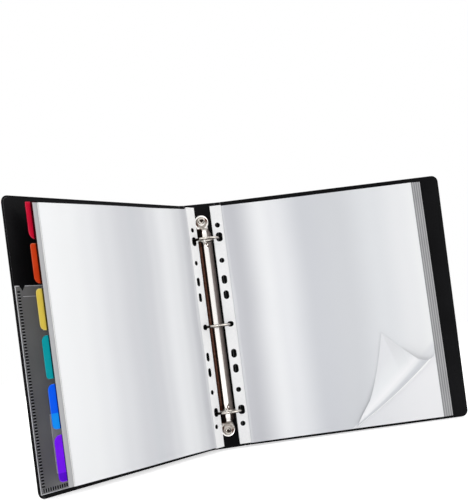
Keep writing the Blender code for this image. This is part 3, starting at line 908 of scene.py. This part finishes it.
# Each point keeps how dark the plate is painted there, as painted reflection and shade, in its "tone"
# attribute.
tone = bm.verts.layers.float.new("tone")
for vert in bm.verts:
    a, z = vert.co.x, vert.co.z
    x = a * housing_half_width(z)
    vert[tone] = painted_plate_shade(x, z)
    level = 1 - blend01((abs(z) - pad_low - NECK_L + CROWN_FALL / 2) / CROWN_FALL)
    rise = HOUSING_CROWN * level * (1 - abs(a) ** 4)
    lip = PAD_LIP * blend01((from_pad(x, z) - PAD_DISH) / PAD_LIP_RUN) * neck_blend(z)
    vert.co = (x, -(GAP + PLATE_T + rise + lip + crimp(x, z)), MID_Z + z)
# Right flank: a painted reflection of the shaded pages, and painted shade below the lower ring.
for face in bm.faces:
    middle = face.calc_center_median()
    up = middle.z - MID_Z
    if middle.x > RIGHT_FLANK and abs(up) < PAD_REACH - PAD_R + RIGHT_FLANK_PAST:
        face.material_index = 2 if up < RING_AWAY[0] - RIGHT_SHADE_BELOW else 1
thicken(bm, PLATE_T)
soften(bm, sharp_edges(bm, 60), PLATE_SOFT, 2)
piece("ring_housing_plate", bm, HERE, [nickel_plate, nickel_flank, nickel_shade], "spine", "ring_metal",
      "ring_housing")


def rivet(name, z, node):
    """Tubular rivet with a rolled head on the pad and a flared end outside the spine."""
    head = GAP + PLATE_T + RIVET_SEAT
    tail = BOARD_T + RIVET_SEAT
    profile = [(r, -head - high) for r, high in RIVET_HEAD] + [(r, tail + high) for r, high in RIVET_TAIL]
    bm = bmesh.new()
    verts = [bm.verts.new((r, y, z)) for r, y in profile]
    edges = [bm.edges.new(pair) for pair in zip(verts, verts[1:])]
    bmesh.ops.spin(bm, geom=verts + edges, cent=(0, 0, z), axis=(0, 1, 0), angle=2 * pi, steps=32,
                   use_merge=True)
    # Faces in the bore get the dark plate: painted shade in the hole.
    for face in bm.faces:
        middle = face.calc_center_median()
        if sqrt(middle.x ** 2 + (middle.z - z) ** 2) < RIVET_BORE:
            face.material_index = 1
    bmesh.ops.remove_doubles(bm, verts=bm.verts, dist=1e-6)
    piece(name, bm, HERE, [nickel_wire, nickel_dark], "spine", "ring_metal", node)


rivet("rivet_bottom_tube", MID_Z - RIVET_REACH, "rivet_bottom")
rivet("rivet_top_tube", MID_Z + RIVET_REACH, "rivet_top")


def wire(bm, start, end, steps, z, way):
    """Wire round the ring axis from one angle to another, measured from the front. A way of 1 or -1 keeps its
    upper or lower half alone."""
    at = Matrix.Translation((0, -RING_LIFT, z)) @ Matrix.Rotation(start, 4, "Z")
    at = at @ Matrix.Translation((0, -RING_R, 0)) @ Matrix.Rotation(pi / 2, 4, "Y")
    verts = bmesh.ops.create_circle(bm, segments=20, radius=WIRE_R, matrix=at)["verts"]
    if way:
        for vert in verts:
            vert.co.z = z + way * max(way * (vert.co.z - z), LAP_GAP)
    edges = list({e for v in verts for e in v.link_edges})
    bmesh.ops.spin(bm, geom=verts + edges, cent=(0, -RING_LIFT, 0), axis=(0, 0, 1), angle=end - start,
                   steps=steps)
    bmesh.ops.holes_fill(bm, edges=[e for e in bm.edges if e.is_boundary], sides=0)


wire_stop = pi - asin(WIRE_END / RING_R)
for side, name in ((-1, "left"), (1, "right")):
    for ring_name, z in zip(RING_NAMES, [MID_Z + away for away in RING_AWAY]):
        bm = bmesh.new()
        wire(bm, side * LAP, side * wire_stop, 40, z, 0)
        wire(bm, -side * (LAP - LAP_SHORT), side * (LAP + LAP_PAST), 6, z, -side)
        # Each wire face gets its painted shade and painted reflection by where it lies.
        for face in bm.faces:
            middle = face.calc_center_median()
            if middle.x < WIRE_SHADE_X:
                face.material_index = 2
            elif middle.z < z - WIRE_SHADE_SHARES[0] * WIRE_R or middle.z > z + WIRE_SHADE_SHARES[1] * WIRE_R:
                face.material_index = 1
        piece(name + "_wire_" + ring_name, bm, HERE, [nickel_wire, nickel_painted_shade, nickel_dark],
              name + "_ring_bank", "ring_metal", name + "_ring_" + ring_name)


# Pages: the left ones hang lower on the rings than the right ones
def layer_y(layer, hang):
    """How far a sheet lies behind the ring axis at its strip. Those below the third lie closer together."""
    return FIRST_LAYER + LAYER * min(layer, 2) + LOWER_LAYER * max(layer - 2, 0) + hang


def hole_x(layer, hang):
    return sqrt(RING_R ** 2 - layer_y(layer, hang) ** 2) + HOLE_SHIFT


def strip_far(layer, hang):
    return hole_x(layer, hang) + (LEFT_STRIP_OUT if hang else STRIP_OUT)


def film_start(layer, hang):
    return strip_far(layer, hang) + GAP


# A strip's holes: how far above the middle each is, its radius, half the run of a slot, the room a ring needs
# on its outer side to open, and how far out it lies from the line of the rings
RIGHT_HOLES = [(away, 0.0034, 0.0020, 0, 0) for away in (-0.0549, -0.0364, 0.0358, 0.0546)]
RIGHT_HOLES += [(away, 0.0031, 0, 0, 0) for away in (-0.1227, -0.0810, 0.0782, 0.1217)]
RIGHT_HOLES += [(away, radius, run, RING_HOLE_ROOM, 0) for away, radius, run in (
    (-0.1057, 0.0035, 0.0022), (-0.0002, 0.0034, 0), (0.1071, 0.0035, 0.0022))]
LEFT_HOLES = [(away, 0.0030, 0.0024, 0, out) for away, out in (
    (-0.0558, 0.0031), (-0.0369, 0.0029), (0.0357, 0.0026), (0.0547, 0.0024))]
LEFT_HOLES += [(away, 0.0029, 0, 0, out) for away, out in (
    (-0.1217, 0.0035), (-0.0799, 0.0033), (0.0777, 0.0021), (0.1180, 0.0013))]
LEFT_HOLES += [(away, 0.0035, run, LEFT_HOLE_ROOM, out) for away, run, out in (
    (-0.1046, 0.0018, 0.0002), (-0.0008, 0, 0.0001), (0.1041, 0.0020, 0.0001))]


def punched(bm, layer, hang):
    """The binding strip of a page, with rounds and slots punched along it."""
    y = layer_y(layer, hang)
    near, far = hole_x(layer, hang) - STRIP_IN, strip_far(layer, hang)
    middle, half = (near + far) / 2, (far - near) / 2
    stood = Matrix.Translation((middle, y, (SLEEVE_Z + SLEEVE_TOP) / 2)) @ Matrix.Rotation(pi / 2, 4, "X")
    sized = Matrix.Diagonal((half, (SLEEVE_TOP - SLEEVE_Z) / 2, 1, 1))
    verts = bmesh.ops.create_grid(bm, x_segments=1, y_segments=1, size=1, matrix=stood @ sized)["verts"]
    bmesh.ops.delete(bm, geom=list({f for v in verts for f in v.link_faces}), context="FACES_ONLY")
    for away, radius, run, room, out in LEFT_HOLES if hang else RIGHT_HOLES:
        x = hole_x(layer, hang) + out
        at = Matrix.Translation((x, y, MID_Z + away)) @ Matrix.Rotation(pi / 2, 4, "X")
        wide = radius + LOWER_HOLES[min(layer, 3)]
        rim = bmesh.ops.create_circle(bm, segments=20, radius=wide, matrix=at)["verts"]
        for vert in rim:
            vert.co.z += copysign(run, vert.co.z - MID_Z - away)
            vert.co.x += room * (vert.co.x > x)
        verts += rim
    edges = list({e for v in verts for e in v.link_edges})
    made = bmesh.ops.triangle_fill(bm, use_beauty=True, edges=edges)["geom"]
    faces = [g for g in made if isinstance(g, bmesh.types.BMFace)]
    thick = bmesh.ops.extrude_face_region(bm, geom=faces, use_keep_orig=True)["geom"]
    moved = [g for g in thick if isinstance(g, bmesh.types.BMVert)]
    bmesh.ops.translate(bm, verts=moved, vec=(0, SHEET_T, 0))


def sheet_y(x, layer, hang):
    """How far a page lies behind the ring axis: it hangs low beside the rings and rises further out."""
    low = hang * blend01((x - film_start(0, hang)) / HANG_RUN)
    return layer_y(layer, hang) - low + SAG * blend01((x - SAG_START) / SAG_RUN)


def curl(bm, reach):
    """Roll the lower outer corner back over the page, tight at the foot and looser up the side. Its edge
    sways out, and its tip droops."""
    base = layer_y(0, 0) + SAG
    start = Vector((reach - CURL_ALONG, 0, SLEEVE_Z))
    fold = Vector((CURL_ALONG, 0, CURL_UP))
    away = Vector((CURL_UP, 0, -CURL_ALONG)).normalized()
    middle = (CURL_TIGHT + CURL_LOOSE) / 2
    deepest = CURL_ALONG * away.x
    longest = deepest - pi * middle
    peak = CURL_ALONG ** 2 / fold.length_squared
    roll = bm.verts.layers.float.new("roll")
    for vert in bm.verts:
        place = vert.co - start
        along = min(max(place.dot(fold) / fold.length_squared, 0), 1)
        bow = CURL_BOW * sin(pi * along)
        past = place.dot(away) - bow
        if past <= 0:
            continue
        radius = CURL_TIGHT + (CURL_LOOSE - CURL_TIGHT) * along
        bend = min(past / radius, pi)
        flat = past - bend * radius
        share = flat / longest
        vert[roll] = min(bend / pi / 2 + share / 2, 1)
        vert.co += away * (radius * sin(bend) - flat - past) + Vector(CURL_STRETCH) * share
        rise = CURL_FLAT * radius * (1 - cos(bend))
        local = deepest * min(along / peak, (1 - along) / (1 - peak)) - bow - pi * radius
        fall = min(max(flat, 0) / max(local, CURL_FALL_RUN), 1)
        sway = min(max(flat, 0) / max(local, CURL_SWAY_RUN), 1)
        vert.co.x += CURL_SWAY * sin(pi * min(along / peak, 1) ** CURL_SWAY_BIAS) * sway
        vert.co.y = base - rise + max(rise - CURL_TIP, 0) * fall ** CURL_FALL


def page_film_sheet(bm, layer, hang, columns, rows, far, skew):
    """The film of a page, drawn flat with its UV map, then trimmed, bent beside the rings and leant."""
    grid(bm, columns, rows)
    near = columns[0]
    uv = bm.loops.layers.uv.new("UVMap")
    for face in bm.faces:
        for loop in face.loops:
            x, z = loop.vert.co.x, loop.vert.co.z
            loop[uv].uv = ((x - near) / (far - near), (z - SLEEVE_Z) / (SLEEVE_TOP - SLEEVE_Z))
    top_near, top_far, foot_near, foot_far = LEFT_TRIM if hang else RIGHT_TRIM
    for vert in bm.verts:
        out = (vert.co.x - near) / (far - near)
        level = (vert.co.z - MID_Z) / (SLEEVE_TOP - MID_Z)
        if level > 0:
            trim = top_near + (top_far - top_near) * out
        else:
            trim = foot_near + (foot_far - foot_near) * out
        vert.co = (vert.co.x, sheet_y(vert.co.x, layer, hang), vert.co.z - trim * level)
    if not layer and not hang:
        curl(bm, far)
    for vert in bm.verts:
        vert.co.x += skew * (vert.co.z - MID_Z) / MID_Z * (vert.co.x - near) / (far - near)


def join_strip(bm, layer, hang):
    """Add the punched strip of a lower sheet to its film."""
    strip = bmesh.new()
    punched(strip, layer, hang)
    return join(bm, strip)


# Top sleeves: each film and its strip are pieces of their own. The right film is finer where it curls.
bm = bmesh.new()
columns = spread(film_start(0, LEFT_HANG), LEFT_REACH, FILM_STEP)
page_film_sheet(bm, 0, LEFT_HANG, columns, spread(SLEEVE_Z, SLEEVE_TOP, 2 * FILM_STEP), LEFT_REACH, LEFT_SKEW)
thicken(bm, SHEET_T)
piece("left_top_film", bm, left_page_place, [left_film], "left_top_page", "sleeve_white", "left_top_sleeve")
bm = bmesh.new()
columns = spread(film_start(0, 0), RIGHT_REACH - CURL_ALONG, FILM_STEP)
columns += spread(RIGHT_REACH - CURL_ALONG, RIGHT_REACH, CURL_STEP)[1:]
rows = spread(SLEEVE_Z, SLEEVE_Z + CURL_UP, CURL_STEP) + spread(SLEEVE_Z + CURL_UP, SLEEVE_TOP, FILM_STEP)[1:]
page_film_sheet(bm, 0, 0, columns, rows, RIGHT_REACH, RIGHT_SKEW)
thicken(bm, SHEET_T)
piece("right_top_film", bm, right_page_place, [right_film], "right_top_page", "sleeve_white",
      "right_top_sleeve")
for name, place, hang, strip in (("left", left_page_place, LEFT_HANG, left_strip),
                                 ("right", right_page_place, 0, right_strip)):
    bm = bmesh.new()
    punched(bm, 0, hang)
    piece(name + "_punched_strip", bm, place, [strip], name + "_top_page", "strip_white",
          name + "_sleeve_strip")


def lower_sleeve(name, layer, hang, paper, reach, skew, films, place, body, node):
    """A sleeve under the top one. Its films are over its paper, in its grey margin and at its sealed edge,
    painted paler there as a highlight line.
    """
    bm = bmesh.new()
    seal = max(reach - SEALED_EDGE, paper)
    columns = spread(film_start(layer, hang), paper, 0.006) + spread(paper, seal, 0.0015)[1:] + [reach]
    page_film_sheet(bm, layer, hang, columns, spread(SLEEVE_Z, SLEEVE_TOP, 0.02), paper, skew)
    for face in bm.faces:
        u = sum(loop[bm.loops.layers.uv.active].uv.x for loop in face.loops) / 4
        x = columns[0] + u * (paper - columns[0])
        face.material_index = 3 if x > seal else 1 if x > paper else 0
    thicken(bm, SHEET_T)
    for face in join_strip(bm, layer, hang):
        face.material_index = 2
    paper_film, margin, painted_edge_film = films
    strip_white = left_strip if hang else right_strip
    piece(name, bm, place, [paper_film, margin, strip_white, painted_edge_film], body, "sleeve_white", node)


# Each lower sleeve's sealed edge is painted paler as a highlight; on the first left one it is white card,
# painted light.
for k, fan in enumerate(LEFT_FANS, 1):
    films = (left_film, left_margin, (card_white, edge_highlight_film)[k - 1])
    lower_sleeve("left_lower_sleeve_%d" % k, k, LEFT_HANG, LEFT_REACH, LEFT_REACH + fan, LEFT_SKEW / k,
                 films, left_page_place, "left_pages", "left_sleeve_%d" % k)
for k in (1, 2, 3, 4):
    films = (under_film, right_margin, edge_highlight_film)
    lower_sleeve("right_lower_sleeve_%d" % k, k, 0, RIGHT_REACH, RIGHT_REACH + RIGHT_FAN * k, RIGHT_SKEW,
                 films, right_page_place, "right_pages", "right_sleeve_%d" % k)


def divider(name, index, materials, drop, height, upper_r, lower_r, node):
    """A white divider sheet with its tinted index tab, whose front has a paler rim and whose root is in
    shade. The first divider lies hindmost, and each further tab reaches a little further out."""
    layer = len(LEFT_FANS) + len(TABS) - index
    edge = LEFT_REACH + DIVIDER_OUT
    columns = spread(film_start(layer, LEFT_HANG), edge, 0.008)
    bm = bmesh.new()
    page_film_sheet(bm, layer, LEFT_HANG, columns, spread(SLEEVE_Z, SLEEVE_TOP, 0.03), edge, 0)
    thicken(bm, SHEET_T)
    join_strip(bm, layer, LEFT_HANG)
    for face in bm.faces:
        face.material_index = 3
    tab = bmesh.new()
    top = SLEEVE_TOP - drop
    out = LEFT_REACH + TAB_OUT + TAB_STEP * (index - len(TABS) / 2)
    low_y = sheet_y(edge, layer, LEFT_HANG)
    block(tab, (edge - TAB_LAP, low_y, top - height), (out, low_y + SHEET_T, top))
    for level, radius in ((top, upper_r), (top - height, lower_r)):
        corner = [e for e in tab.edges if all(v.co.x > edge and abs(v.co.z - level) < 1e-5 for v in e.verts)
                  and abs(e.verts[0].co.y - e.verts[1].co.y) > 1e-6]
        soften(tab, corner, radius, 8)
    tab.normal_update()
    front = [f for f in tab.faces if f.normal.y < -0.9]
    for face in bmesh.ops.inset_region(tab, faces=front, thickness=TAB_RIM, use_even_offset=True)["faces"]:
        face.material_index = 1
    # Beside the pages the tab's root gets a dark material: a painted shadow.
    root = LEFT_REACH + LEFT_FANS[1] + TAB_ROOT
    everything = tab.verts[:] + tab.edges[:] + tab.faces[:]
    bmesh.ops.bisect_plane(tab, geom=everything, plane_co=(root, 0, 0), plane_no=(1, 0, 0))
    for face in tab.faces:
        if face.calc_center_median().x < root:
            face.material_index = 2
    join(bm, tab)
    piece(name, bm, left_page_place, materials, "left_pages", "tab_" + TABS[index][0], node)


for index, (colour, code, deep, rim, deepest, *shape) in enumerate(TABS):
    body = tab_plastic("tinted_polypropylene_" + colour, code, deep, BANDS.get(colour))
    pale = tab_plastic("tinted_edge_" + colour, rim, code)
    root = tab_plastic("tinted_root_painted_shadow_" + colour, deepest, deepest)
    divider("divider_sheet_" + colour, index, [body, pale, root, divider_white], *shape,
            "divider_%d" % (index + 1))


# Stage: white floor that keeps the shadow, soft studio light, white surroundings
FLOOR_HALF = 6
FLOOR_DROP = 0.0002
FLOOR_GLOW = (0.30, 0.60)
SURROUND_GLOW = (0.50, 1.0)


def glow(tree, unseen, seen):
    """A strength for light on the part, and another for what is seen directly, reflected or through film."""
    path = add(tree, "ShaderNodeLightPath", {}, {})
    total = path.outputs["Is Camera Ray"]
    for ray in ("Is Glossy Ray", "Is Transmission Ray"):
        total = add(tree, "ShaderNodeMath", {"operation": "ADD", "use_clamp": True},
                    {0: total, 1: path.outputs[ray]}).outputs["Value"]
    level = add(tree, "ShaderNodeMapRange", {"To Min": unseen, "To Max": seen}, {"Value": total})
    return level.outputs["Result"]


floor_white, tree, shader = new_material(
    "studio_floor_white", "#f4f4f4", {"Roughness": 0.9, "Specular IOR Level": 0})
shader.inputs["Emission Color"].default_value = linear("#ffffff")
tree.links.new(glow(tree, *FLOOR_GLOW), shader.inputs["Emission Strength"])
bm = bmesh.new()
bmesh.ops.create_grid(bm, x_segments=1, y_segments=1, size=FLOOR_HALF,
                      matrix=Matrix.Translation((0, 0, -FLOOR_DROP)))
mesh = bpy.data.meshes.new("studio_floor")
bm.to_mesh(mesh)
bm.free()
mesh.materials.append(floor_white)
floor = bpy.data.objects.new("studio_floor", mesh)
scene.collection.objects.link(floor)

world = bpy.data.worlds.new("studio")
scene.world = world
world.use_nodes = True
tree = world.node_tree
background = tree.nodes["Background"]
background.inputs["Color"].default_value = linear("#ffffff")
tree.links.new(glow(tree, *SURROUND_GLOW), background.inputs["Strength"])


def lamp(name, place, target, size, watts):
    """A round soft light at a place, turned to a target."""
    data = bpy.data.lights.new(name, "AREA")
    data.shape = "DISK"
    data.size = size
    data.energy = watts
    obj = bpy.data.objects.new(name, data)
    obj.location = place
    obj.rotation_euler = (Vector(target) - Vector(place)).to_track_quat("-Z", "Y").to_euler()
    scene.collection.objects.link(obj)


lamp("soft_left", (-1.9, -1.7, 1.4), (0, -0.05, 0.15), 1.9, 6.9)
lamp("soft_right", (2.3, -1.1, 1.1), (0, -0.05, 0.15), 2.0, 9.9)
lamp("soft_front", (-0.25, -1.4, 0.05), (0, -0.05, 0.03), 0.7, 5.1)
lamp("back_top", (0.2, 1.5, 2.0), (0, 0, 0.2), 1.5, 14)
lamp("back_low", (-0.5, 2.4, 1.2), (0, 0, 0.15), 2.0, 24)

# Camera: level with the middle and left of it, turned about its own axis as in the photograph, for a frame of
# 468 x 500
CAMERA_PLACE = (-0.18677, -1.11197, 0.13566)
CAMERA_TURN = radians(-10.714)
CAMERA_TIP = radians(90 + 0.427)
CAMERA_ROLL = radians(-7.359)
camera_data = bpy.data.cameras.new("camera")
camera_data.lens = 65.373
camera_data.sensor_width = 36
camera_data.shift_y = 0.1605
camera_data.clip_start = 0.01
camera = bpy.data.objects.new("camera", camera_data)
aim = Matrix.Rotation(CAMERA_TURN, 4, "Z") @ Matrix.Rotation(CAMERA_TIP, 4, "X")
camera.matrix_world = Matrix.Translation(CAMERA_PLACE) @ aim @ Matrix.Rotation(CAMERA_ROLL, 4, "Z")
scene.collection.objects.link(camera)
scene.camera = camera
scene.view_settings.view_transform = "Standard"
